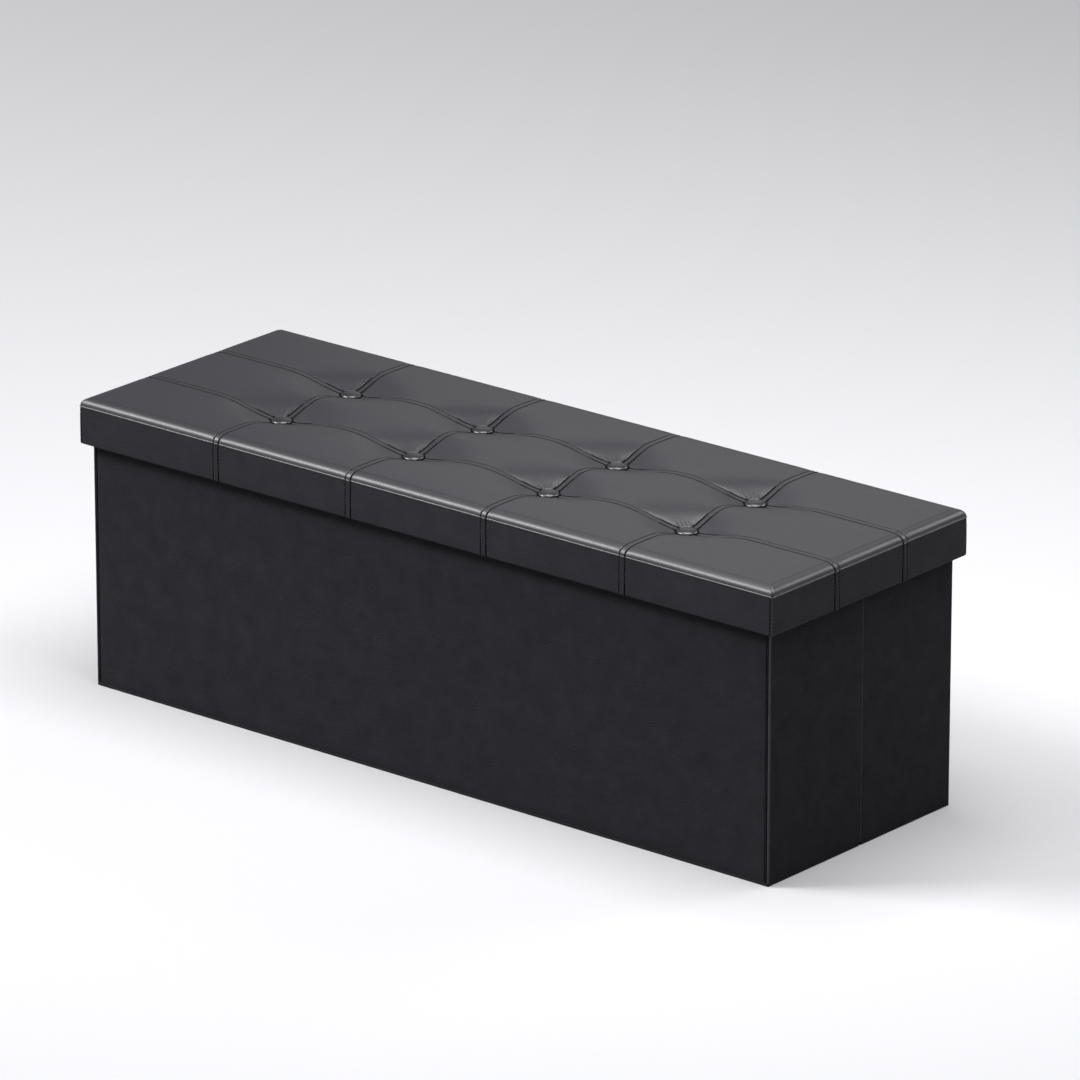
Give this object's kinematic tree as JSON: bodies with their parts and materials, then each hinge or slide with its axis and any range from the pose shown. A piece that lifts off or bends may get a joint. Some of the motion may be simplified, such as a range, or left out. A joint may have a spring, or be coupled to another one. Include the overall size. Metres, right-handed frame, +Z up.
{
  "type": "storage ottoman",
  "caption": "Long padded storage ottoman: fold-flat panelled box, loose base board and a button-tufted lift-off lid, covered in dark faux leather.",
  "frame": {"origin": "on the floor, in the middle of the box's footprint", "axes": "+X along the length, +Y from front to back, +Z up; the front wall faces -Y"},
  "size_m": [1.1, 0.376, 0.3836],
  "materials": {
    "faux_leather": "charcoal coated fabric with a fine embossed grain, semi-matt",
    "faux_leather_binding": "the same coated fabric, folded and sewn as bindings and strips",
    "button_leather": "the same coated fabric stretched over moulded button shells",
    "lining_cloth": "black spun-bonded non-woven cloth with a pressed dot pattern",
    "ribbon_webbing": "black woven ribbon",
    "nylon_twine": "undyed twisted twine",
    "foam": "open-cell polyurethane foam",
    "fibreboard": "raw medium-density fibreboard",
    "toggle_plastic": "moulded plastic"
  },
  "bodies": {
    "back_wall": {"back_wall_board": "fibreboard", "back_wall_cover": "faux_leather", "back_wall_lining": "lining_cloth", "back_wall_hem": "faux_leather_binding", "back_left_corner_strip": "faux_leather_binding", "back_right_corner_strip": "faux_leather_binding"},
    "front_wall": {"front_wall_board": "fibreboard", "front_wall_cover": "faux_leather", "front_wall_lining": "lining_cloth", "front_wall_hem": "faux_leather_binding", "front_left_corner_strip": "faux_leather_binding", "front_right_corner_strip": "faux_leather_binding"},
    "right_rear": {"right_rear_board": "fibreboard", "right_rear_cover": "faux_leather", "right_rear_lining": "lining_cloth", "right_rear_hem": "faux_leather_binding", "right_crease_strip": "faux_leather_binding"},
    "right_front": {"right_front_board": "fibreboard", "right_front_cover": "faux_leather", "right_front_lining": "lining_cloth", "right_front_hem": "faux_leather_binding"},
    "left_front": {"left_front_board": "fibreboard", "left_front_cover": "faux_leather", "left_front_lining": "lining_cloth", "left_front_hem": "faux_leather_binding"},
    "left_rear": {"left_rear_board": "fibreboard", "left_rear_cover": "faux_leather", "left_rear_lining": "lining_cloth", "left_rear_hem": "faux_leather_binding", "left_crease_strip": "faux_leather_binding"},
    "base_board": {"base_sheet": "fibreboard", "base_wrap": "lining_cloth", "base_ribbon": "ribbon_webbing"},
    "lid": {"lid_board": "fibreboard", "lid_cover": "faux_leather", "lid_lining": "lining_cloth", "seat_pad": "foam", "skirt_board_front": "fibreboard", "skirt_board_back": "fibreboard", "skirt_board_right": "fibreboard", "skirt_board_left": "fibreboard", "tie_twines": "nylon_twine", "tie_toggles": "toggle_plastic", "tuft_buttons": "button_leather"}
  },
  "joints": [
    {"name": "right_rear_fold", "type": "hinge", "parent": "back_wall", "child": "right_rear", "pos_m": [0.527, 0.1647, 0], "axis": [0, 0, 1], "range_deg": [-88, 0], "deforming": ["front_wall_hem", "right_rear_hem", "right_front_hem", "left_front_hem", "left_rear_hem", "right_crease_strip", "left_crease_strip"]},
    {"name": "right_mid_fold", "type": "hinge", "parent": "right_rear", "child": "right_front", "pos_m": [0.538, 0, 0], "axis": [0, 0, 1], "range_deg": [0, 176], "deforming": ["right_front_hem"]},
    {"name": "front_right_fold", "type": "hinge", "parent": "right_front", "child": "front_wall", "pos_m": [0.527, -0.1647, 0], "axis": [0, 0, 1], "range_deg": [-88, 0], "deforming": ["front_wall_hem"]},
    {"name": "front_left_fold", "type": "hinge", "parent": "front_wall", "child": "left_front", "pos_m": [-0.527, -0.1647, 0], "axis": [0, 0, 1], "range_deg": [-88, 0], "deforming": ["left_front_hem"]},
    {"name": "rear_left_fold", "type": "hinge", "parent": "back_wall", "child": "left_rear", "pos_m": [-0.527, 0.1647, 0], "axis": [0, 0, 1], "range_deg": [0, 88], "deforming": ["left_rear_hem"]},
    {"name": "base_board_lift", "type": "slide", "parent": "back_wall", "child": "base_board", "axis": [0, 0, 1], "range_m": [0, 0.4]},
    {"name": "lid_lift", "type": "slide", "parent": "base_board", "child": "lid", "axis": [0, 0, 1], "range_m": [0, 0.25]}
  ],
  "couplings": [
    {"joint": "right_mid_fold", "follows": "right_rear_fold", "ratio": -2},
    {"joint": "front_right_fold", "follows": "right_rear_fold", "ratio": 1},
    {"joint": "front_left_fold", "follows": "right_rear_fold", "ratio": 1},
    {"joint": "rear_left_fold", "follows": "right_rear_fold", "ratio": -1}
  ]
}
